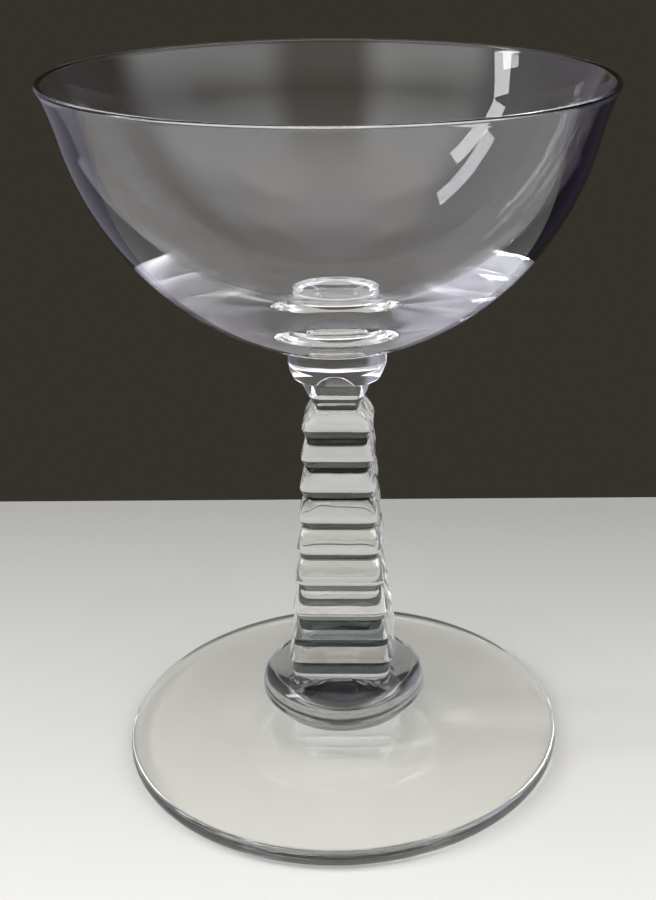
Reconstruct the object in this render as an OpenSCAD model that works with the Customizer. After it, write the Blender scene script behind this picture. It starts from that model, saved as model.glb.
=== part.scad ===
// Sherbet glass: a blown bowl on a pressed, stepped square stem, a round collar and a disc foot.
// Millimetres, +Z up, origin on the table under the middle of the foot.

/* [Foot] */
// Outside diameter of the foot
foot_d = 83.5; // [70:0.5:96]
// Thickness of the foot at its outer edge
foot_edge_t = 3.4; // [2.4:0.1:5]
// Height of the flat land that the collar sits on
foot_land_h = 8.5; // [6:0.1:10]
// Diameter of that land
foot_land_d = 27; // [24:0.2:29]
// Depth of the shallow hollow under the foot
foot_hollow_h = 1.8; // [0.6:0.1:3]
// Width of the flat ring that the glass stands on
foot_ring_w = 5; // [3:0.5:9]

/* [Collar] */
// Widest diameter of the collar
collar_d = 31.2; // [30.4:0.2:36]
// Height of the widest ring above the foot
collar_belly_h = 2.8; // [1.2:0.1:4]
// Height of the whole dome above that ring, most of it inside the stem
dome_h = 6.6; // [5.6:0.1:9]
// Height of the collar from the foot to its joint with the stem
collar_h = 7; // [6:0.1:8]

/* [Stem] */
// Number of stacked blocks
block_count = 9; // [5:1:12]
// Height of the plain root below the lowest block, sunk in the dome
root_h = 4.7; // [3:0.1:6]
// Number of short blocks at the bottom of the stack
short_count = 2; // [0:1:3]
// Height of each short block
short_h = 4.6; // [3.6:0.1:6]
// Height of the lowest of the other blocks
block_low_h = 6.22; // [5:0.01:8]
// Height of the highest block
block_high_h = 5.54; // [4:0.01:7]
// Width of the lowest block
block_low_w = 19.8; // [18:0.1:20]
// Width of the highest block
block_high_w = 12.7; // [11.2:0.1:16]
// Depth of the groove below each block
groove_d = 0.65; // [0.4:0.05:1.2]
// Height of the undercut below each block
undercut_h = 1.5; // [0.8:0.1:2.4]
// Height of the undercut below each short block
short_undercut_h = 1; // [0.6:0.1:2]
// How much of each corner is rounded away
corner_cut = 0.9; // [0.6:0.1:1.8]
// Width of the square neck above the blocks
neck_w = 9.6; // [8:0.1:10.6]
// Width of the square throat above the neck, at its top
throat_w = 11.8; // [11:0.1:12.6]
// Height of the throat's slanting sides
throat_h = 1.85; // [1.2:0.05:3]
// Width of the flat panel on each side of the throat
panel_w = 9; // [7:0.1:9.4]
// Height of that panel
panel_h = 3.4; // [2:0.1:4.4]
// Height of the flare from the throat to the pad
flare_h = 3.8; // [3:0.1:5]
// Radius of the flare's bulging outline
flare_curve_r = 12; // [6:0.5:40]
// Diameter of the round pad under the bowl
pad_d = 17.5; // [15.5:0.1:20]
// Height of the pad's upright edge
pad_h = 3.33; // [1.6:0.01:4.5]

/* [Bowl] */
// Outside diameter of the rim
rim_d = 94; // [84:0.5:104]
// Height of the bowl from the pad to the rim
bowl_h = 45.95; // [38:0.05:54]
// Radius of the wall's outside curve
bowl_curve_r = 50.5; // [42:0.5:70]
// How far the lip turns out
lip_flare = 1.7; // [0.6:0.1:2.6]
// Height over which the lip turns out
lip_h = 9; // [5:0.5:14]
// Thickness of the wall at the rim
rim_t = 1.1; // [0.8:0.05:1.8]
// Thickness of the glass at the bottom of the bowl
bottom_t = 5.5; // [3.5:0.1:8]

/* [Hidden] */

// Roundness of lathe forms and steps along a curved outline
$fn = 144;
curve_steps = 24;
face_steps = 4;
edge_steps = 10;

// Colours of the clear glass
bowl_tint = [0.86, 0.85, 0.92];
stem_tint = [0.84, 0.88, 0.87];
foot_tint = [0.80, 0.86, 0.82];

// Stacking heights
collar_z = foot_land_h;
stem_z = collar_z + collar_h;
neck_z = root_h + short_count * short_h
    + (block_count - short_count) * (block_low_h + block_high_h) / 2;
throat_z = neck_z + undercut_h;
flare_z = throat_z + throat_h;
pad_z = flare_z + flare_h;
stem_h = pad_z + pad_h;
bowl_z = stem_z + stem_h;

// Turn from one side of the square stem to the next
quarter = 90;

// Powers of a block's bulging side, of the column's taper, of the foot's rise and of the collar's outline
side_power = 1.25;
taper_power = 1.25;
rise_power = 1.6;
dome_power = 3;
belly_power = 1.3;

// Share of the way up the column for block i, counted from the bottom
function share(i) = i / (block_count - 1);

// Half width of block i
function block_half(i) =
    (block_high_w + (block_low_w - block_high_w) * pow(1 - share(i), taper_power)) / 2;

// Height of block i, the height of the undercut below it, and the height of its bottom above the collar
function tall(i) = i < short_count ? short_h
    : block_low_h + (block_high_h - block_low_h) * (i - short_count) / (block_count - short_count - 1);
function undercut(i) = i < short_count ? short_undercut_h : undercut_h;
function block_z(i) = root_h + min(i, short_count) * short_h
    + max(0, i - short_count) * (block_low_h + tall(max(short_count, i - 1))) / 2;

// Radius of the collar's dome at height h above the foot
function dome_r(h) =
    collar_d / 2 * sqrt(max(0, 1 - pow((h - collar_belly_h) / dome_h, dome_power)));

// Half width of the groove above block i, which for the highest block is the neck's
function root_half(i) = (i < block_count - 1 ? block_half(i + 1) : neck_w / 2) - groove_d;

// Distance of a rounded corner from the axis, for a square of half width w
function corner_r(w) = w * sqrt(2) - corner_cut;

// Middle of the arc of the given radius from p to q that bulges away from the axis
function arc_middle(p, q, radius) =
    let (chord = q - p, half = norm(chord) / 2)
    (p + q) / 2 + sqrt(radius * radius - half * half) * [-chord[1], chord[0]] / (2 * half);

// Points on the arc round c from p to q
function arc_points(c, p, q) =
    let (a = atan2(p[1] - c[1], p[0] - c[0]), b = atan2(q[1] - c[1], q[0] - c[0]))
    [for (i = [0 : curve_steps]) let (t = a + (b - a) * i / curve_steps)
        c + norm(p - c) * [cos(t), sin(t)]];

// Bulging arc of the flare from p to q
function bulge(p, q) = arc_points(arc_middle(p, q, flare_curve_r), p, q);

// How far the lip stands out at height z of the bowl
function lip_out(z) = lip_flare * pow(max(0, z - bowl_h + lip_h) / lip_h, 2);

// Right-hand outline made symmetric about the Z axis
function both_sides(right) =
    concat(right, [for (i = [len(right) - 1 : -1 : 0]) [-right[i][0], right[i][1]]]);

// Square prism whose two side outlines are the same closed outline
module square_form(right, depth) {
    intersection() {
        rotate([90, 0, 0])
            linear_extrude(depth, center = true)
                polygon(both_sides(right));
        rotate([90, 0, 90])
            linear_extrude(depth, center = true)
                polygon(both_sides(right));
    }
}

// Disc foot with a rounded edge, a raised middle and a shallow hollow below
module foot() {
    r = foot_d / 2;
    round_r = foot_edge_t / 2;
    flat_r = r - round_r;
    ring_r = flat_r - foot_ring_w;
    land_r = foot_land_d / 2;
    hollow = [for (i = [0 : curve_steps]) let (u = i / curve_steps)
        [ring_r * u, foot_hollow_h * (1 - u * u)]];
    edge = [for (i = [0 : edge_steps]) let (a = -90 + 180 * i / edge_steps)
        [flat_r + round_r * cos(a), round_r + round_r * sin(a)]];
    top = [for (i = [1 : curve_steps]) let (u = i / curve_steps)
        [flat_r + (land_r - flat_r) * u,
         foot_edge_t + (foot_land_h - foot_edge_t) * pow(u, rise_power)]];
    color(foot_tint)
        rotate_extrude()
            polygon(concat(hollow, edge, top, [[0, foot_land_h]]));
}

// Round button of glass: an overhanging lower edge and a dome cut flat for the stem
module collar() {
    seat_r = foot_land_d / 2;
    belly = [for (i = [0 : edge_steps]) let (u = i / edge_steps)
        [collar_d / 2 - (collar_d / 2 - seat_r) * pow(1 - u, belly_power), collar_belly_h * u]];
    dome = [for (i = [1 : edge_steps])
        let (h = collar_belly_h + (collar_h - collar_belly_h) * i / edge_steps) [dome_r(h), h]];
    color(foot_tint)
        translate([0, 0, collar_z])
            rotate_extrude()
                polygon(concat([[0, 0]], belly, dome, [[0, collar_h]]));
}

// Stepped square column that rises from the top of the dome and flares into a round pad
module stem() {
    pad_r = pad_d / 2;
    neck = neck_w / 2;
    low = block_half(0) - groove_d;
    rim_point = [pad_r, pad_z];
    cap_h = collar_belly_h + dome_h - collar_h;
    blocks = [for (i = [0 : block_count - 1], k = [0 : face_steps])
        let (u = k / face_steps)
        [block_half(i) + (root_half(i) - block_half(i)) * pow(u, side_power),
         block_z(i) + undercut(i) + (tall(i) - undercut(i)) * u]];
    corners = [for (i = [0 : block_count - 1]) [corner_r(block_half(i)), block_z(i) + undercut(i)]];
    cap = [for (i = [0 : edge_steps]) let (h = cap_h * i / edge_steps) [dome_r(collar_h + h), h]];
    flare = bulge([throat_w / 2, flare_z], rim_point);
    limit = bulge([corner_r(neck), throat_z], rim_point);
    color(stem_tint)
        translate([0, 0, stem_z]) {
            difference() {
                intersection() {
                    square_form(concat([[low, 0], [low, root_h]], blocks, [[neck, throat_z]], flare,
                        [[pad_r, stem_h]]), pad_d + block_low_w);
                    rotate_extrude()
                        polygon(concat([[0, 0], [corner_r(low), 0], [corner_r(low), root_h]], corners,
                            limit, [[pad_r, stem_h], [0, stem_h]]));
                }
                for (side = [0 : 3])
                    rotate([0, 0, side * quarter])
                        translate([neck, -panel_w / 2, throat_z])
                            cube([pad_d, panel_w, panel_h]);
            }
            rotate_extrude()
                polygon(concat([[0, 0]], cap));
        }
}

// Bowl with an arched wall, a thick bottom and a rounded lip that turns out
module bowl() {
    lip_z = bowl_h - rim_t / 2;
    out_foot = [pad_d / 2, 0];
    out_lip = [rim_d / 2 - lip_out(lip_z), lip_z];
    in_lip = out_lip - [rim_t, 0];
    in_depth = lip_z - bottom_t;
    in_r = (in_lip[0] * in_lip[0] + in_depth * in_depth) / (2 * in_depth);
    outside = arc_points(arc_middle(out_foot, out_lip, bowl_curve_r), out_foot, out_lip);
    inside = arc_points([0, bottom_t + in_r], in_lip, [0, bottom_t]);
    rim = [for (i = [1 : edge_steps - 1]) let (a = 180 * i / edge_steps)
        [rim_d / 2 - rim_t / 2 + rim_t / 2 * cos(a), lip_z + rim_t / 2 * sin(a)]];
    color(bowl_tint)
        translate([0, 0, bowl_z])
            rotate_extrude()
                polygon(concat([[0, 0]],
                    [for (p = outside) p + [lip_out(p[1]), 0]], rim,
                    [for (p = inside) p + [lip_out(p[1]), 0]]));
}

foot();
collar();
stem();
bowl();
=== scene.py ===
"""Sherbet glass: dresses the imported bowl, stem, collar and foot as clear glass on a pale table."""

import logging
import math
from dataclasses import dataclass, replace
from enum import Enum, IntEnum
from typing import Callable, Sequence, Union

import bmesh
import bpy
from mathutils import Matrix, Vector


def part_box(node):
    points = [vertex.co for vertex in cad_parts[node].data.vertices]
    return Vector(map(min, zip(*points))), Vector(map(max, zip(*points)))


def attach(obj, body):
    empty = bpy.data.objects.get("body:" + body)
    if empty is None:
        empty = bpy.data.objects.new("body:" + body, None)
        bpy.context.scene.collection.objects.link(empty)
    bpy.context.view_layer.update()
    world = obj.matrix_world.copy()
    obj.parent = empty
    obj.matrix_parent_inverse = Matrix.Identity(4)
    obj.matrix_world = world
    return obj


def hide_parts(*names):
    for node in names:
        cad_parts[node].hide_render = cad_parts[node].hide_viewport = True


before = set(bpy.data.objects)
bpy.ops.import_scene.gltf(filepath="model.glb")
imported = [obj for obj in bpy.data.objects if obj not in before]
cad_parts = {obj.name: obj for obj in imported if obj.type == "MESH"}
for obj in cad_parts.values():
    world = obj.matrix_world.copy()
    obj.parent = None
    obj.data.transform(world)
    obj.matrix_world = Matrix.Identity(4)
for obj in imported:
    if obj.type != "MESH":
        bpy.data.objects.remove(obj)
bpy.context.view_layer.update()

MM = 0.001
BODY = "root"
LOG = logging.getLogger("sherbet_glass")

Point = tuple[float, float]
Colour = tuple[float, float, float]


class Face(Enum):
    """Which finish a face of a glass piece takes, as its material index."""

    CLEAR = 0
    SEAM = 1
    # From this index on, faces take painted shade: dark glass that stands in for shade.
    SHADED = 2


class StemPaintedShade(IntEnum):
    """Which of the stem's painted shade finishes a band takes, in the order in which the stem is given them.
    """

    DEEP = 0
    FAINT = 1
    DOME = 2


class NumberField:
    """A number inside a node tree, with plain arithmetic."""

    def __init__(self, tree: bpy.types.NodeTree, socket: bpy.types.NodeSocket) -> None:
        """Keeps the tree and the socket that gives the number."""
        self.tree = tree
        self.socket = socket

    def math(self, operation: str, *others: "Operand") -> "NumberField":
        """Adds one Math node whose first input is this number.

        Args:
            operation: the Math node's operation.
            others: the other inputs, in order.

        Returns:
            The node's result.
        """
        node = self.tree.nodes.new("ShaderNodeMath")
        node.operation = operation
        for index, value in enumerate((self, *others)):
            if isinstance(value, NumberField):
                self.tree.links.new(value.socket, node.inputs[index])
            else:
                node.inputs[index].default_value = value
        return NumberField(self.tree, node.outputs[0])

    def __add__(self, other: "Operand") -> "NumberField":
        """Sum."""
        return self.math("ADD", other)

    def __sub__(self, other: "Operand") -> "NumberField":
        """Difference."""
        return self.math("SUBTRACT", other)

    def __mul__(self, other: "Operand") -> "NumberField":
        """Product."""
        return self.math("MULTIPLY", other)

    def __truediv__(self, other: "Operand") -> "NumberField":
        """Quotient."""
        return self.math("DIVIDE", other)

    def __pow__(self, other: "Operand") -> "NumberField":
        """Power."""
        return self.math("POWER", other)

    def clamp(self) -> "NumberField":
        """This number held between 0 and 1."""
        return self.math("MAXIMUM", 0.0).math("MINIMUM", 1.0)

    def smooth(self) -> "NumberField":
        """A soft step from 0 to 1 as this number goes from 0 to 1."""
        held = self.clamp()
        return held * held * (held * -2.0 + 3.0)


Operand = Union[NumberField, float]


class Tree:
    """Small helper that builds a node tree from fields."""

    def __init__(self, tree: bpy.types.NodeTree) -> None:
        """Keeps the tree."""
        self.tree = tree

    def node(self, kind: str, **values: object) -> bpy.types.Node:
        """Adds a node and sets its properties.

        Args:
            kind: the node's type name.
            values: properties of the node.

        Returns:
            The new node.
        """
        made = self.tree.nodes.new(kind)
        for name, value in values.items():
            setattr(made, name, value)
        return made

    def link(self, source: Union[bpy.types.NodeSocket, NumberField],
             target: bpy.types.NodeSocket) -> None:
        """Joins a source socket or field to a target socket."""
        self.tree.links.new(source.socket if isinstance(source, NumberField) else source, target)

    def field(self, socket: bpy.types.NodeSocket) -> NumberField:
        """The field that a socket gives."""
        return NumberField(self.tree, socket)


@dataclass(frozen=True)
class GlassFinish:
    """Glass with a tint, soft waves from the making and light use marks; the wave's height is in metres."""

    name: str
    tint: Colour
    wave_scale: float
    wave_height: float
    smear_scale: float
    smear_roughness: float
    wave_detail: float = 1.0
    smear_detail: float = 3.0
    smear_level: float = 0.52
    smear_contrast: float = 5.0
    ior: float = 1.5

    def material(self) -> bpy.types.Material:
        """Makes the glass.

        Returns:
            The material.
        """
        made = bpy.data.materials.new(self.name)
        made.use_nodes = True
        tree = Tree(made.node_tree)
        shader = made.node_tree.nodes["Principled BSDF"]
        shader.inputs["Base Color"].default_value = (*self.tint, 1.0)
        shader.inputs["Transmission Weight"].default_value = 1.0
        shader.inputs["IOR"].default_value = self.ior
        place = tree.node("ShaderNodeTexCoord")
        smear = tree.node("ShaderNodeTexNoise")
        smear.inputs["Scale"].default_value = self.smear_scale
        smear.inputs["Detail"].default_value = self.smear_detail
        tree.link(place.outputs["Object"], smear.inputs["Vector"])
        worn = ((tree.field(smear.outputs["Fac"]) - self.smear_level) * self.smear_contrast).smooth()
        tree.link(worn * self.smear_roughness, shader.inputs["Roughness"])
        wave = tree.node("ShaderNodeTexNoise")
        wave.inputs["Scale"].default_value = self.wave_scale
        wave.inputs["Detail"].default_value = self.wave_detail
        tree.link(place.outputs["Object"], wave.inputs["Vector"])
        bump = tree.node("ShaderNodeBump")
        bump.inputs["Strength"].default_value = 1.0
        bump.inputs["Distance"].default_value = self.wave_height
        tree.link(wave.outputs["Fac"], bump.inputs["Height"])
        tree.link(bump.outputs["Normal"], shader.inputs["Normal"])
        return made


@dataclass(frozen=True)
class SeamFinish:
    """Fused glass where two pieces meet: nothing shows."""

    name: str = "fused_seam"

    def material(self) -> bpy.types.Material:
        """Makes the see-through seam.

        Returns:
            The material.
        """
        made = bpy.data.materials.new(self.name)
        made.use_nodes = True
        made.node_tree.nodes["Principled BSDF"].inputs["Alpha"].default_value = 0.0
        return made


BLOWN = GlassFinish(
    "clear_blown", (0.975, 0.97, 0.99),
    wave_scale=38.0, wave_height=0.00006, smear_scale=45.0, smear_roughness=0.02,
)
PRESSED = GlassFinish(
    "clear_pressed", (0.962, 0.964, 0.965),
    wave_scale=160.0, wave_height=0.00008, smear_scale=60.0, smear_roughness=0.03,
)
DISC = GlassFinish(
    "clear_disc", (0.950, 0.950, 0.926),
    wave_scale=60.0, wave_height=0.00007, smear_scale=50.0, smear_roughness=0.03,
)
# Painted shade: dark tints of the pressed and disc glass stand in for the shade in the stem's grooves, on the
# button's dome and along the foot's edge.
PAINTED_DEEP_GROOVE_SHADE = replace(PRESSED, name="deep_groove", tint=(0.012, 0.018, 0.018))
PAINTED_GROOVE_SHADE = replace(PRESSED, name="shaded_groove", tint=(0.10, 0.12, 0.115))
PAINTED_BUTTON_SHADE = replace(PRESSED, name="shaded_button", tint=(0.42, 0.44, 0.44))
PAINTED_EDGE_SHADE = replace(DISC, name="shaded_edge", tint=(0.19, 0.20, 0.19))
SEAM = SeamFinish()


def arc_middle(start: Point, end: Point, radius: float) -> Point:
    """Finds the middle of an arc that bulges away from the axis.

    Args:
        start: the arc's lower end.
        end: the arc's upper end.
        radius: the arc's radius.

    Returns:
        The middle of the arc's circle.
    """
    dx, dz = end[0] - start[0], end[1] - start[1]
    half = math.hypot(dx, dz) / 2
    reach = math.sqrt(radius * radius - half * half) / (2 * half)
    return (start[0] + end[0]) / 2 - dz * reach, (start[1] + end[1]) / 2 + dx * reach


def arc_points(middle: Point, start: Point, end: Point, steps: int) -> list[Point]:
    """Places points along an arc.

    Args:
        middle: the middle of the circle.
        start: the first point.
        end: the last point.
        steps: how many steps there are between them.

    Returns:
        The points, both ends included.
    """
    radius = math.dist(middle, start)
    a = math.atan2(start[1] - middle[1], start[0] - middle[0])
    b = math.atan2(end[1] - middle[1], end[0] - middle[0])
    turns = [a + (b - a) * i / steps for i in range(steps + 1)]
    return [(middle[0] + radius * math.cos(t), middle[1] + radius * math.sin(t)) for t in turns]


@dataclass(frozen=True)
class Ring:
    """One level of a turned form: its radius and height."""

    radius: float
    z: float


def turned_mesh(name: str, rings: Sequence[Ring], base_z: float, around: int) -> bpy.types.Mesh:
    """Joins rings into a closed mesh about the Z axis.

    Args:
        name: the mesh's name.
        rings: the levels in order, in millimetres; a radius of 0 is a pole.
        base_z: height of the piece's own zero, in metres.
        around: how many points a ring has.

    Returns:
        The mesh, with its faces outwards.
    """
    work = bmesh.new()
    levels: list[list[bmesh.types.BMVert]] = []
    for ring in rings:
        z = base_z + ring.z * MM
        if ring.radius <= 0.0:
            levels.append([work.verts.new((0.0, 0.0, z))])
            continue
        level = []
        for k in range(around):
            angle = 2 * math.pi * k / around
            r = ring.radius * MM
            level.append(work.verts.new((r * math.cos(angle), r * math.sin(angle), z)))
        levels.append(level)
    for low, high in zip(levels, levels[1:]):
        for k in range(around):
            edge = [low[k % len(low)], low[(k + 1) % len(low)]]
            edge += [high[(k + 1) % len(high)], high[k % len(high)]]
            work.faces.new(list(dict.fromkeys(edge)))
    bmesh.ops.recalc_face_normals(work, faces=work.faces)
    mesh = bpy.data.meshes.new(name)
    work.to_mesh(mesh)
    work.free()
    return mesh


@dataclass(frozen=True)
class Seam:
    """A flat round joint with another piece: its height in metres and its radius in millimetres."""

    z: float
    radius: float

    def mark(self, mesh: bpy.types.Mesh, slack: float = 1e-6) -> None:
        """Marks the faces that lie in the joint as seam faces.

        Args:
            mesh: the piece's mesh.
            slack: how far a corner may be from the joint's height, in metres.
        """
        for face in mesh.polygons:
            flat = all(abs(mesh.vertices[v].co.z - self.z) < slack for v in face.vertices)
            away = math.hypot(face.center.x, face.center.y) / MM
            if flat and away <= self.radius:
                face.material_index = Face.SEAM.value


@dataclass(frozen=True)
class PaintedShadeBand:
    """A level that takes painted shade, in millimetres.

    It has two heights above the piece's base, a least distance from the axis and the number of its painted
    shade finish.
    """

    low: float
    high: float
    inner: float = 0.0
    shade: int = 0

    def mark(self, mesh: bpy.types.Mesh, base: float) -> None:
        """Marks the faces in the band with a painted shade finish.

        Args:
            mesh: the piece's mesh.
            base: height of the piece's base, in metres.
        """
        for face in mesh.polygons:
            level = (face.center.z - base) / MM
            away = math.hypot(face.center.x, face.center.y) / MM
            if self.low < level < self.high and away > self.inner:
                face.material_index = Face.SHADED.value + self.shade


@dataclass
class GlassPiece:
    """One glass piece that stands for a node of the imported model."""

    node: str
    slot: str
    finish: GlassFinish
    # Dark glass finishes that paint shade onto the piece's darker levels.
    painted_shades: tuple[GlassFinish, ...] = ()
    sharp_angle: float = math.radians(38)

    def base(self) -> float:
        """Height of the node's lowest point, in metres."""
        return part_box(self.node)[0].z

    def top(self) -> float:
        """Height of the node's highest point, in metres."""
        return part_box(self.node)[1].z

    def seams(self) -> list[Seam]:
        """The flat joints with other pieces."""
        return []

    def painted_shade_bands(self) -> list[PaintedShadeBand]:
        """The levels that take painted shade."""
        return []

    def mesh(self) -> bpy.types.Mesh:
        """Makes the piece's mesh, in metres."""
        raise NotImplementedError

    def build(self) -> bpy.types.Object:
        """Makes the piece, dresses it and puts it in its node's place.

        Returns:
            The piece.
        """
        mesh = self.mesh()
        self.dress(mesh)
        mesh.shade_smooth()
        mesh.set_sharp_from_angle(angle=self.sharp_angle)
        piece = bpy.data.objects.new(self.node + "_glass", mesh)
        bpy.context.scene.collection.objects.link(piece)
        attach(piece, BODY)
        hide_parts(self.node)
        LOG.info("%s: %d faces", piece.name, len(mesh.polygons))
        return piece

    def dress(self, mesh: bpy.types.Mesh) -> None:
        """Gives the piece its glass, its joints the seam finish and its painted-shade levels their painted
        shade finishes.
        """
        mesh.materials.clear()
        for finish in (self.finish, SEAM, *self.painted_shades):
            mesh.materials.append(bpy.data.materials.get(finish.name) or finish.material())
        for band in self.painted_shade_bands():
            band.mark(mesh, self.base())
        for seam in self.seams():
            seam.mark(mesh)


@dataclass
class Foot(GlassPiece):
    """Disc foot with a rounded edge, a raised middle and a shallow hollow below; sizes in millimetres."""

    width: float = 83.5
    edge: float = 3.4
    land: float = 8.5
    land_width: float = 27.0
    hollow: float = 1.8
    ring: float = 5.0
    rise_power: float = 1.6
    # How high the painted shade on the rounded edge reaches, as a share of the edge, and how far in from the
    # edge it reaches.
    edge_shade: float = 0.75
    shade_depth: float = 0.5
    hollow_steps: int = 24
    edge_steps: int = 16
    top_steps: int = 64
    around: int = 256

    def seams(self) -> list[Seam]:
        """The joint with the collar."""
        return [Seam(self.top(), self.land_width / 2)]

    def painted_shade_bands(self) -> list[PaintedShadeBand]:
        """The outer part of the rounded edge, below its upper quarter, which takes painted shade."""
        inner = self.width / 2 - self.shade_depth
        return [PaintedShadeBand(0.0, self.edge * self.edge_shade, inner)]

    def mesh(self) -> bpy.types.Mesh:
        """Turns the foot's outline."""
        round_r = self.edge / 2
        flat_r = self.width / 2 - round_r
        ring_r = flat_r - self.ring
        land_r = self.land_width / 2
        shares = [i / self.hollow_steps for i in range(self.hollow_steps + 1)]
        rings = [Ring(ring_r * u, self.hollow * (1 - u ** 2)) for u in shares]
        for i in range(self.edge_steps + 1):
            a = math.radians(-90 + 180 * i / self.edge_steps)
            rings.append(Ring(flat_r + round_r * math.cos(a), round_r + round_r * math.sin(a)))
        for i in range(1, self.top_steps + 1):
            u = i / self.top_steps
            z = self.edge + (self.land - self.edge) * u ** self.rise_power
            rings.append(Ring(flat_r + (land_r - flat_r) * u, z))
        rings.append(Ring(0.0, self.land))
        return turned_mesh("foot_glass", rings, self.base(), self.around)


@dataclass(frozen=True)
class Dome:
    """The domed button round the stem's root; sizes in millimetres."""

    width: float = 31.2
    belly: float = 2.8
    rise: float = 6.6
    joint: float = 7.0
    power: float = 3.0

    def radius(self, height: float) -> float:
        """Radius of the dome at a height above the foot."""
        return self.width / 2 * math.sqrt(1 - ((height - self.belly) / self.rise) ** self.power)


@dataclass
class Collar(GlassPiece):
    """Round button with an overhanging lower edge and a dome cut flat for the stem; sizes in millimetres."""

    dome: Dome = Dome()
    seat_width: float = 27.0
    belly_power: float = 1.3
    steps: int = 32
    around: int = 192

    def seams(self) -> list[Seam]:
        """The joints with the foot and the stem."""
        joint = Seam(self.top(), self.dome.radius(self.dome.joint))
        return [Seam(self.base(), self.seat_width / 2), joint]

    def painted_shade_bands(self) -> list[PaintedShadeBand]:
        """The dome above its widest ring, which takes painted shade."""
        return [PaintedShadeBand(self.dome.belly, self.dome.joint)]

    def mesh(self) -> bpy.types.Mesh:
        """Turns the button's outline."""
        dome, edge = self.dome, self.dome.width / 2
        over = edge - self.seat_width / 2
        shares = [i / self.steps for i in range(self.steps + 1)]
        climbs = [dome.belly + (dome.joint - dome.belly) * u for u in shares[1:]]
        rings = [Ring(0.0, 0.0)]
        rings += [Ring(edge - over * (1 - u) ** self.belly_power, dome.belly * u) for u in shares]
        rings += [Ring(dome.radius(z), z) for z in climbs]
        rings.append(Ring(0.0, dome.joint))
        return turned_mesh("collar_glass", rings, self.base(), self.around)


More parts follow.
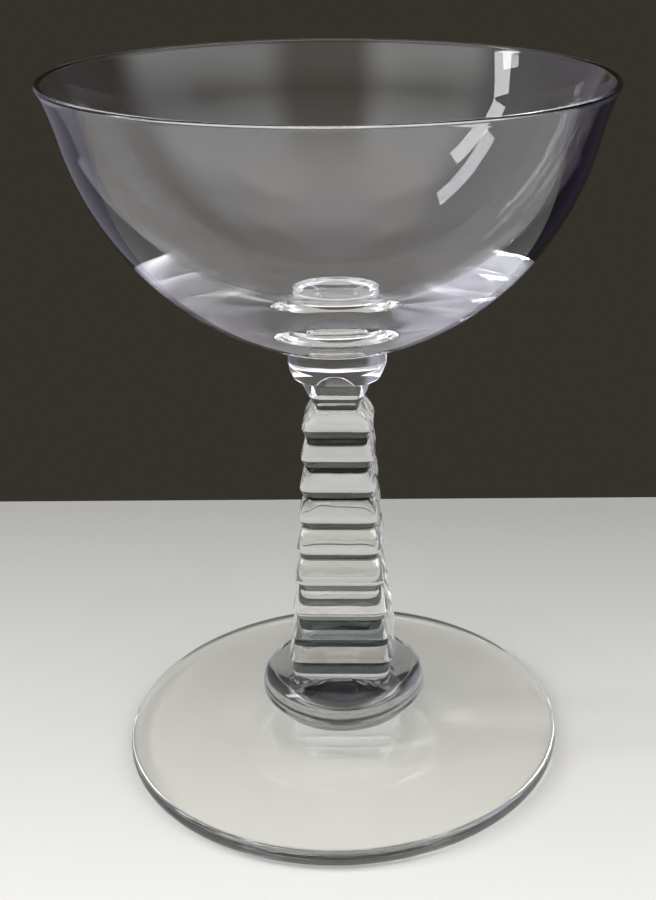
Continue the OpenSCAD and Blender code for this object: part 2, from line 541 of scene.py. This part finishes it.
@dataclass
class Stem(GlassPiece):
    """Stepped square column that rises from the dome and flares into a round pad; sizes in millimetres."""

    dome: Dome = Dome()
    root: float = 4.7
    blocks: int = 9
    short_blocks: int = 2
    short_block: float = 4.6
    low_block: float = 6.22
    high_block: float = 5.54
    low_width: float = 19.8
    high_width: float = 12.7
    groove: float = 0.65
    short_undercut: float = 1.0
    undercut: float = 1.5
    neck_width: float = 9.6
    throat_width: float = 11.8
    throat: float = 1.85
    panel_width: float = 9.0
    panel: float = 3.4
    flare: float = 3.8
    flare_curve: float = 12.0
    pad_width: float = 17.5
    pad: float = 3.33
    squareness: float = 9.0
    side_power: float = 1.25
    taper_power: float = 1.25
    around: int = 192
    root_rows: int = 16
    block_rows: int = 22
    head_rows: int = 96
    weld: float = 0.001
    row_slack: float = 0.0001
    # How far the painted shade of the four lowest grooves reaches down the face under each, and the half
    # height of the thin painted shade at the other grooves.
    low_shades: tuple[float, ...] = (1.9, 0.55, 0.25, 0.15)
    thin_shade: float = 0.15

    def seams(self) -> list[Seam]:
        """The joints with the collar and the bowl."""
        joint = Seam(self.base(), self.dome.radius(self.dome.joint))
        return [joint, Seam(self.top(), self.pad_width / 2)]

    def painted_shade_bands(self) -> list[PaintedShadeBand]:
        """The top of the dome, and the groove below each block, which take painted shade.

        The bands of the low grooves also take in the top of the face under them, as low_shades says.
        """
        cap = self.dome.belly + self.dome.rise - self.dome.joint
        painted_shade_bands = [PaintedShadeBand(0.0, cap, shade=StemPaintedShade.DOME)]
        fall = (self.low_block - self.high_block) / (self.blocks - self.short_blocks - 1)
        z = self.root
        for i in range(self.blocks):
            is_short = i < self.short_blocks
            shade = StemPaintedShade.DEEP if is_short else StemPaintedShade.FAINT
            if i < len(self.low_shades):
                painted_shade_bands.append(PaintedShadeBand(z - self.low_shades[i], z + self.short_undercut, shade=shade))
            else:
                painted_shade_bands.append(PaintedShadeBand(z - self.thin_shade, z + self.thin_shade, shade=shade))
            z += self.short_block if is_short else self.low_block - fall * (i - self.short_blocks)
        return painted_shade_bands

    def sizes(self) -> dict[str, float]:
        """Named inputs of the node tree, lengths in metres."""
        return {
            "Root": self.root * MM, "Blocks": float(self.blocks),
            "Short blocks": float(self.short_blocks), "Short block": self.short_block * MM,
            "Low block": self.low_block * MM, "High block": self.high_block * MM,
            "Low half": self.low_width / 2 * MM, "High half": self.high_width / 2 * MM,
            "Groove": self.groove * MM, "Undercut": self.undercut * MM,
            "Short undercut": self.short_undercut * MM,
            "Neck half": self.neck_width / 2 * MM,
            "Panel slope": self.panel_width / self.neck_width, "Panel height": self.panel * MM,
            "Throat half": self.throat_width / 2 * MM, "Throat height": self.throat * MM,
            "Flare height": self.flare * MM,
            "Neck corner": self.neck_width / 2 * 2 ** (0.5 - 1 / self.squareness) * MM,
            "Flare curve": self.flare_curve * MM,
            "Pad radius": self.pad_width / 2 * MM, "Pad height": self.pad * MM,
            "Squareness": self.squareness, "Side power": self.side_power,
            "Taper power": self.taper_power, "Base": self.base(),
            "Dome radius": self.dome.width / 2 * MM, "Dome rise": self.dome.rise * MM,
            "Dome joint": (self.dome.joint - self.dome.belly) * MM, "Dome power": self.dome.power,
        }

    def foot_end(self, size: dict[str, NumberField], rows: NumberField) -> tuple[NumberField, ...]:
        """Half width, height, widest radius and panel of the plain root in the dome.

        Args:
            size: the node tree's named inputs.
            rows: goes from 0 to 1 up the root.

        Returns:
            The half width, height, widest radius and panel fields; a panel is 1 where a flat panel is cut.
        """
        return size["Low half"] - size["Groove"], rows * size["Root"], size["Low half"] * 2.0, rows * 0.0

    def column(self, size: dict[str, NumberField], rows: NumberField) -> tuple[NumberField, ...]:
        """Half width, height, widest radius and panel of the stacked blocks.

        Args:
            size: the node tree's named inputs.
            rows: goes from 0 to 1 up the column.

        Returns:
            The half width, height, widest radius and panel fields; a panel is 1 where a flat panel is cut.
        """
        along = rows * size["Blocks"]
        last = size["Blocks"] - 1.0
        index = (along + self.row_slack).math("FLOOR").math("MINIMUM", last)
        part = along - index
        half, over = self.half_of(size, index), self.half_of(size, index + 1.0)
        short = size["Short blocks"]
        is_short = index.math("LESS_THAN", short - 0.5)
        above_short = (index - short).math("MAXIMUM", 0.0)
        growth = (size["High block"] - size["Low block"]) / (last - short)
        tall = size["Low block"] + growth * above_short
        tall = tall + (size["Short block"] - tall) * is_short
        start = index.math("MINIMUM", short) * size["Short block"] + above_short * size["Low block"]
        start = start + growth * above_short * (above_short - 1.0) * 0.5
        below = half - size["Groove"]
        is_top = index.math("GREATER_THAN", last - 0.5)
        root = over - size["Groove"]
        above = root + (size["Neck half"] - size["Groove"] - root) * is_top
        under = (size["Undercut"] + (size["Short undercut"] - size["Undercut"]) * is_short) / tall
        rise = (part / under).clamp()
        fall = ((part - under) / (under * -1.0 + 1.0)).clamp() ** size["Side power"]
        lower = below + (half - below) * rise
        upper = half + (above - half) * fall
        width = upper + (lower - upper) * part.math("LESS_THAN", under)
        return width, size["Root"] + start + part * tall, size["Low half"] * 2.0, rows * 0.0

    def half_of(self, size: dict[str, NumberField], index: NumberField) -> NumberField:
        """Half width of a block.

        Args:
            size: the node tree's named inputs.
            index: the block's number, counted from the bottom.

        Returns:
            The half width field.
        """
        left = (index / (size["Blocks"] - 1.0) * -1.0 + 1.0).math("MAXIMUM", 0.0)
        return size["High half"] + (size["Low half"] - size["High half"]) * left ** size["Taper power"]

    def bulge(self, size: dict[str, NumberField], start: NumberField, tall: NumberField,
              climb: NumberField) -> NumberField:
        """Half width on a bulging arc that ends at the pad.

        Args:
            size: the node tree's named inputs.
            start: the half width at the arc's lower end.
            tall: the arc's height.
            climb: height above the arc's lower end.

        Returns:
            The half width field.
        """
        curve = size["Flare curve"]
        reach = size["Pad radius"] - start
        chord = (reach * reach + tall * tall).math("SQRT")
        far = (curve * curve - chord * chord * 0.25).math("SQRT") / chord
        above = climb.math("MAXIMUM", 0.0).math("MINIMUM", tall) - tall * 0.5 - reach * far
        return start + reach * 0.5 - tall * far + (curve * curve - above * above).math("SQRT")

    def head(self, size: dict[str, NumberField], rows: NumberField) -> tuple[NumberField, ...]:
        """Half width, height, widest radius and panel of the neck, the throat, the flare and the pad.

        Args:
            size: the node tree's named inputs.
            rows: goes from 0 to 1 up the head.

        Returns:
            The half width, height, widest radius and panel fields; a panel is 1 where a flat panel is cut.
        """
        neck, throat, flare = size["Undercut"], size["Throat height"], size["Flare height"]
        column = (size["Low block"] + size["High block"]) * (size["Blocks"] - size["Short blocks"]) * 0.5
        column = column + size["Short blocks"] * size["Short block"]
        up = rows * (neck + throat + flare + size["Pad height"])
        slant = ((up - neck) / throat).clamp() * (size["Throat half"] - size["Neck half"])
        lower = size["Neck half"] + slant - size["Groove"] * ((up / neck).clamp() * -1.0 + 1.0)
        upper = self.bulge(size, size["Throat half"], flare, up - neck - throat)
        is_low = up.math("LESS_THAN", neck + throat)
        widest = self.bulge(size, size["Neck corner"], throat + flare, up - neck)
        panel = up.math("GREATER_THAN", neck) * up.math("LESS_THAN", neck + size["Panel height"])
        return upper + (lower - upper) * is_low, size["Root"] + column + up, widest, panel

    def loft(self, tree: Tree, size: dict[str, NumberField], rows: int,
             shape: Callable[..., tuple[NumberField, ...]]) -> bpy.types.NodeSocket:
        """Bends a grid round the axis into a loft of rounded squares that the dome fills out.

        Args:
            tree: the node tree.
            size: its named inputs.
            rows: how many steps there are upwards.
            shape: gives half width, height, widest radius and panel for a share of the way up.

        Returns:
            The geometry socket of the loft.
        """
        grid = tree.node("GeometryNodeMeshGrid")
        grid.inputs["Size X"].default_value = 1.0
        grid.inputs["Size Y"].default_value = 1.0
        grid.inputs["Vertices X"].default_value = self.around + 1
        grid.inputs["Vertices Y"].default_value = rows + 1
        place = tree.node("GeometryNodeInputPosition")
        split = tree.node("ShaderNodeSeparateXYZ")
        tree.link(place.outputs["Position"], split.inputs[0])
        angle = (tree.field(split.outputs["X"]) + 0.5) * (2 * math.pi)
        half, z, widest, panel = shape(size, tree.field(split.outputs["Y"]) + 0.5)
        power = size["Squareness"]
        cosine, sine = angle.math("COSINE"), angle.math("SINE")
        spread = cosine.math("ABSOLUTE") ** power + sine.math("ABSOLUTE") ** power
        over = ((z + size["Dome joint"]) / size["Dome rise"]) ** size["Dome power"]
        dome = size["Dome radius"] * (over * -1.0 + 1.0).math("MAXIMUM", 0.0).math("SQRT")
        square = half * spread ** (power.math("POWER", -1.0) * -1.0)
        major = cosine.math("ABSOLUTE").math("MAXIMUM", sine.math("ABSOLUTE"))
        minor = cosine.math("ABSOLUTE").math("MINIMUM", sine.math("ABSOLUTE"))
        is_flat = panel * (minor / major).math("LESS_THAN", size["Panel slope"])
        cut = size["Neck half"] / major + (is_flat * -1.0 + 1.0)
        radius = square.math("MINIMUM", widest).math("MINIMUM", cut).math("MAXIMUM", dome)
        join = tree.node("ShaderNodeCombineXYZ")
        tree.link(radius * cosine, join.inputs["X"])
        tree.link(radius * sine, join.inputs["Y"])
        tree.link(z + size["Base"], join.inputs["Z"])
        move = tree.node("GeometryNodeSetPosition")
        tree.link(grid.outputs["Mesh"], move.inputs["Geometry"])
        tree.link(join.outputs["Vector"], move.inputs["Position"])
        return move.outputs["Geometry"]

    def node_tree(self) -> tuple[bpy.types.NodeTree, dict[str, str]]:
        """Builds the stem's node tree.

        Returns:
            The tree, and the identifier of each named input.
        """
        group = bpy.data.node_groups.new("stepped_stem", "GeometryNodeTree")
        group.interface.new_socket("Geometry", in_out="OUTPUT", socket_type="NodeSocketGeometry")
        names = {}
        for name in self.sizes():
            socket = group.interface.new_socket(name, in_out="INPUT", socket_type="NodeSocketFloat")
            names[name] = socket.identifier
        tree = Tree(group)
        given = tree.node("NodeGroupInput")
        size = {name: tree.field(given.outputs[name]) for name in names}
        both = tree.node("GeometryNodeJoinGeometry")
        tree.link(self.loft(tree, size, self.root_rows, self.foot_end), both.inputs[0])
        tree.link(self.loft(tree, size, self.blocks * self.block_rows, self.column), both.inputs[0])
        tree.link(self.loft(tree, size, self.head_rows, self.head), both.inputs[0])
        weld = tree.node("GeometryNodeMergeByDistance")
        weld.inputs["Distance"].default_value = self.weld * MM
        real = tree.node("GeometryNodeRealizeInstances")
        paint = tree.node("GeometryNodeSetMaterial")
        known = bpy.data.materials.get(self.finish.name)
        paint.inputs["Material"].default_value = known or self.finish.material()
        result = tree.node("NodeGroupOutput")
        tree.link(both.outputs[0], weld.inputs["Geometry"])
        tree.link(weld.outputs["Geometry"], real.inputs["Geometry"])
        tree.link(real.outputs["Geometry"], paint.inputs["Geometry"])
        tree.link(paint.outputs["Geometry"], result.inputs[0])
        return group, names

    def mesh(self) -> bpy.types.Mesh:
        """Runs the node tree, then closes both ends with flat faces."""
        group, names = self.node_tree()
        maker = bpy.data.objects.new("stem_maker", bpy.data.meshes.new("stem_maker"))
        bpy.context.scene.collection.objects.link(maker)
        modifier = maker.modifiers.new("stepped_stem", "NODES")
        modifier.node_group = group
        for name, value in self.sizes().items():
            modifier[names[name]] = value
        depsgraph = bpy.context.evaluated_depsgraph_get()
        mesh = bpy.data.meshes.new_from_object(maker.evaluated_get(depsgraph))
        maker.modifiers.clear()
        bpy.data.objects.remove(maker)
        work = bmesh.new()
        work.from_mesh(mesh)
        bmesh.ops.holes_fill(work, edges=[e for e in work.edges if e.is_boundary], sides=0)
        bmesh.ops.recalc_face_normals(work, faces=work.faces)
        work.to_mesh(mesh)
        work.free()
        mesh.name = "stem_glass"
        return mesh


@dataclass
class Bowl(GlassPiece):
    """Arched bowl with a thick bottom and a rounded lip that turns out; sizes in millimetres."""

    rim_width: float = 94.0
    height: float = 45.95
    curve: float = 50.5
    lip_flare: float = 1.7
    lip_height: float = 9.0
    rim: float = 1.1
    bottom: float = 5.5
    seat_width: float = 17.5
    steps: int = 110
    rim_steps: int = 12
    around: int = 288

    def seams(self) -> list[Seam]:
        """The joint with the stem's pad."""
        return [Seam(self.base(), self.seat_width / 2)]

    def lip_out(self, z: float) -> float:
        """How far the lip stands out at a height."""
        return self.lip_flare * (max(0.0, z - self.height + self.lip_height) / self.lip_height) ** 2

    def mesh(self) -> bpy.types.Mesh:
        """Turns the bowl's wall."""
        lip_z = self.height - self.rim / 2
        out_lip = (self.rim_width / 2 - self.lip_out(lip_z), lip_z)
        in_lip = (out_lip[0] - self.rim, lip_z)
        seat = (self.seat_width / 2, 0.0)
        depth = lip_z - self.bottom
        in_radius = (in_lip[0] ** 2 + depth ** 2) / (2 * depth)
        outside = arc_points(arc_middle(seat, out_lip, self.curve), seat, out_lip, self.steps)
        inside = arc_points((0.0, self.bottom + in_radius), in_lip, (0.0, self.bottom), self.steps)
        rim_r = self.rim / 2
        rim_middle = self.rim_width / 2 - rim_r
        turns = [math.pi * i / self.rim_steps for i in range(1, self.rim_steps)]
        rings = [Ring(0.0, 0.0)]
        rings += [Ring(r + self.lip_out(z), z) for r, z in outside]
        rings += [Ring(rim_middle + rim_r * math.cos(a), lip_z + rim_r * math.sin(a)) for a in turns]
        rings += [Ring(r + self.lip_out(z), z) for r, z in inside[:-1]]
        rings.append(Ring(0.0, self.bottom))
        return turned_mesh("bowl_glass", rings, self.base(), self.around)


@dataclass(frozen=True)
class Panel:
    """A soft lamp: a flat rectangle that looks at a point; lengths in metres."""

    name: str
    place: tuple[float, float, float]
    aim: tuple[float, float, float]
    width: float
    height: float
    power: float

    def build(self) -> None:
        """Adds the lamp to the scene."""
        lamp = bpy.data.lights.new(self.name, "AREA")
        lamp.shape = "RECTANGLE"
        lamp.size, lamp.size_y = self.width, self.height
        lamp.energy = self.power
        holder = bpy.data.objects.new(self.name, lamp)
        bpy.context.scene.collection.objects.link(holder)
        holder.location = self.place
        ahead = Vector(self.aim) - Vector(self.place)
        holder.rotation_euler = ahead.to_track_quat("-Z", "Y").to_euler()


# Limits in degrees that no direction reaches, so a part of the room has no soft edge there
BELOW = -200.0
ABOVE = 200.0
ALL_ROUND = 400.0


@dataclass(frozen=True)
class Sector:
    """A soft-edged part of the room, as seen from the glass, in degrees.

    A bearing of 0 is straight behind the glass and 90 is to its right; heights go from -90 to 90.
    """

    name: str
    colour: Colour
    middle: float
    spread: float
    height: tuple[float, float]
    soft: float = 20.0

    def share(self, bearing: NumberField, height: NumberField) -> NumberField:
        """How much of this part's colour a direction shows.

        Args:
            bearing: the direction's bearing.
            height: the direction's height.

        Returns:
            A field from 0 to 1.
        """
        aside = (bearing - self.middle).math("WRAP", 180.0, -180.0).math("ABSOLUTE")
        across = ((aside - self.spread / 2) / -self.soft + 0.5).smooth()
        over = ((height - self.height[0]) / self.soft + 0.5).smooth()
        under = ((height - self.height[1]) / -self.soft + 0.5).smooth()
        return across * over * under


@dataclass
class Studio:
    """Pale table with painted shade that darkens it towards the back, soft room with a dark backdrop, and a
    window's light; lengths in metres.
    """

    table_drop: float = 0.0004
    table_front: float = -1.4
    table_side: float = 1.3
    table_back: float = 0.1055
    table_slope: float = 0.023
    # Painted shade: the table's colour falls from near_colour at the front to a darker colour at the back.
    far_painted_shade_colour: Colour = (0.44, 0.438, 0.42)
    near_colour: Colour = (0.90, 0.892, 0.865)
    painted_shade_start: float = -0.050
    painted_shade_end: float = 0.100
    cloud_share: float = 0.06
    cloud_scale: float = 9.0
    table_roughness: float = 0.6
    table_specular: float = 0.2
    bounces: int = 32
    sectors: tuple[Sector, ...] = (
        Sector("backdrop", (0.036, 0.032, 0.025), 0.0, 52.0, (BELOW, 20.0), 8.0),
        Sector("wall_right", (0.06, 0.05, 0.08), 49.0, 46.0, (BELOW, 20.0), 8.0),
        Sector("wall_left", (0.29, 0.275, 0.34), -49.0, 46.0, (BELOW, 20.0), 8.0),
        Sector("opening_right", (0.64, 0.62, 0.73), 91.0, 34.0, (BELOW, 20.0)),
        Sector("opening_left", (0.60, 0.62, 0.68), -99.0, 52.0, (BELOW, 20.0)),
        Sector("haze_back", (0.060, 0.055, 0.065), -18.0, 66.0, (20.0, 50.0)),
        Sector("haze_left", (0.46, 0.48, 0.58), -75.0, 58.0, (20.0, 50.0)),
        Sector("window_left", (1.95, 1.98, 2.00), -134.0, 58.0, (20.0, 50.0)),
        Sector("window_right", (1.65, 1.68, 1.72), 112.0, 76.0, (20.0, 50.0)),
        Sector("behind", (0.55, 0.53, 0.51), 177.0, 52.0, (20.0, 50.0)),
        Sector("cove_side", (0.56, 0.55, 0.57), 180.0, 280.0, (50.0, 76.0)),
        Sector("cove_front", (1.50, 1.49, 1.38), 180.0, 180.0, (50.0, 76.0)),
        Sector("ceiling", (1.25, 1.21, 1.30), 0.0, ALL_ROUND, (76.0, ABOVE)),
    )
    panels: tuple[Panel, ...] = (
        Panel("left_window", (-0.85, -0.04, 0.64), (0.0, 0.0, 0.11), width=0.14, height=0.45, power=2.0),
    )

    def table(self) -> None:
        """Adds the table top, whose back edge is the one behind the glass and whose colour darkens towards
        the back as painted shade.
        """
        side, slope = self.table_side, self.table_side * self.table_slope
        corners = [
            (-side, self.table_front), (side, self.table_front),
            (side, self.table_back + slope), (-side, self.table_back - slope),
        ]
        mesh = bpy.data.meshes.new("table")
        mesh.from_pydata([(x, y, -self.table_drop) for x, y in corners], [], [(0, 1, 2, 3)])
        top = bpy.data.objects.new("table", mesh)
        bpy.context.scene.collection.objects.link(top)
        material = bpy.data.materials.new("table_top")
        material.use_nodes = True
        tree = Tree(material.node_tree)
        shader = material.node_tree.nodes["Principled BSDF"]
        place = tree.node("ShaderNodeTexCoord")
        cloud = tree.node("ShaderNodeTexNoise")
        cloud.inputs["Scale"].default_value = self.cloud_scale
        tree.link(place.outputs["Object"], cloud.inputs["Vector"])
        split = tree.node("ShaderNodeSeparateXYZ")
        tree.link(place.outputs["Object"], split.inputs[0])
        # Painted shade: darker towards the back, with a little random patchiness.
        reach = self.painted_shade_end - self.painted_shade_start
        away = (tree.field(split.outputs["Y"]) - self.painted_shade_start) / reach
        patchy = (tree.field(cloud.outputs["Fac"]) - 0.5) * self.cloud_share
        mix = tree.node("ShaderNodeMix", data_type="RGBA")
        mix.inputs["A"].default_value = (*self.near_colour, 1.0)
        mix.inputs["B"].default_value = (*self.far_painted_shade_colour, 1.0)
        tree.link((away + patchy).clamp(), mix.inputs["Factor"])
        tree.link(mix.outputs["Result"], shader.inputs["Base Color"])
        shader.inputs["Roughness"].default_value = self.table_roughness
        shader.inputs["Specular IOR Level"].default_value = self.table_specular
        mesh.materials.append(material)

    def room(self) -> None:
        """Sets the room round the table as a sum of soft sectors."""
        world = bpy.data.worlds.new("room")
        bpy.context.scene.world = world
        world.use_nodes = True
        tree = Tree(world.node_tree)
        place = tree.node("ShaderNodeTexCoord")
        split = tree.node("ShaderNodeSeparateXYZ")
        tree.link(place.outputs["Generated"], split.inputs[0])
        x, y, z = (tree.field(split.outputs[axis]) for axis in "XYZ")
        bearing = x.math("ARCTAN2", y).math("DEGREES")
        height = z.math("ARCSINE").math("DEGREES")
        total = None
        for sector in self.sectors:
            scaled = tree.node("ShaderNodeVectorMath", operation="SCALE")
            scaled.inputs[0].default_value = sector.colour
            tree.link(sector.share(bearing, height), scaled.inputs["Scale"])
            both = tree.node("ShaderNodeVectorMath", operation="ADD")
            tree.link(scaled.outputs[0], both.inputs[0])
            if total:
                tree.link(total, both.inputs[1])
            total = both.outputs[0]
        tree.link(total, world.node_tree.nodes["Background"].inputs["Color"])

    def build(self) -> None:
        """Sets the table, the room, the lamps and how far light is followed through the glass."""
        bpy.context.scene.view_settings.view_transform = "Standard"
        paths = bpy.context.scene.cycles
        paths.blur_glossy = 0.0
        paths.max_bounces = paths.transmission_bounces = self.bounces
        paths.glossy_bounces = self.bounces // 2
        self.table()
        self.room()
        for panel in self.panels:
            panel.build()
        LOG.info("studio: %d lamps", len(self.panels))


@dataclass(frozen=True)
class PhotoCamera:
    """Camera at the photograph's viewing angle; lengths in metres, lens in millimetres, angles in degrees."""

    place: tuple[float, float, float] = (0.01382, -0.22597, 0.15933)
    yaw: float = -0.009
    pitch: float = 23.645
    roll: float = 0.184
    lens: float = 54.252
    sensor: float = 36.0
    shift_x: float = -0.0967
    nearest: float = 0.01

    def build(self) -> None:
        """Adds the camera and makes it the scene's own."""
        yaw, pitch, roll = (math.radians(a) for a in (self.yaw, self.pitch, self.roll))
        level = math.cos(pitch)
        ahead = Vector((math.sin(yaw) * level, math.cos(yaw) * level, -math.sin(pitch)))
        right = Vector((math.cos(yaw), -math.sin(yaw), 0.0))
        up = right.cross(ahead)
        across = right * math.cos(roll) + up * math.sin(roll)
        above = up * math.cos(roll) - right * math.sin(roll)
        data = bpy.data.cameras.new("photo_camera")
        data.sensor_width = self.sensor
        data.lens = self.lens
        data.shift_x = self.shift_x
        data.clip_start = self.nearest
        camera = bpy.data.objects.new("photo_camera", data)
        bpy.context.scene.collection.objects.link(camera)
        turn = Matrix((across, above, -ahead)).transposed().to_4x4()
        camera.matrix_world = Matrix.Translation(self.place) @ turn
        bpy.context.scene.camera = camera
        LOG.info("camera: %.1f mm lens", self.lens)


def main() -> None:
    """Builds the camera, the studio and the four glass pieces, in order."""
    logging.basicConfig(level=logging.INFO, format="%(name)s: %(message)s")
    PhotoCamera().build()
    Studio().build()
    # The tuple after each piece's glass lists its painted shade finishes.
    for piece in (
        Foot("foot", "foot_glass", DISC, (PAINTED_EDGE_SHADE,)),
        Collar("collar", "stem_glass", PRESSED, (PAINTED_BUTTON_SHADE,)),
        Stem("stem", "stem_glass", PRESSED, (PAINTED_DEEP_GROOVE_SHADE, PAINTED_GROOVE_SHADE, PAINTED_BUTTON_SHADE)),
        Bowl("bowl", "bowl_glass", BLOWN),
    ):
        piece.build()


if __name__ == "__main__":
    main()
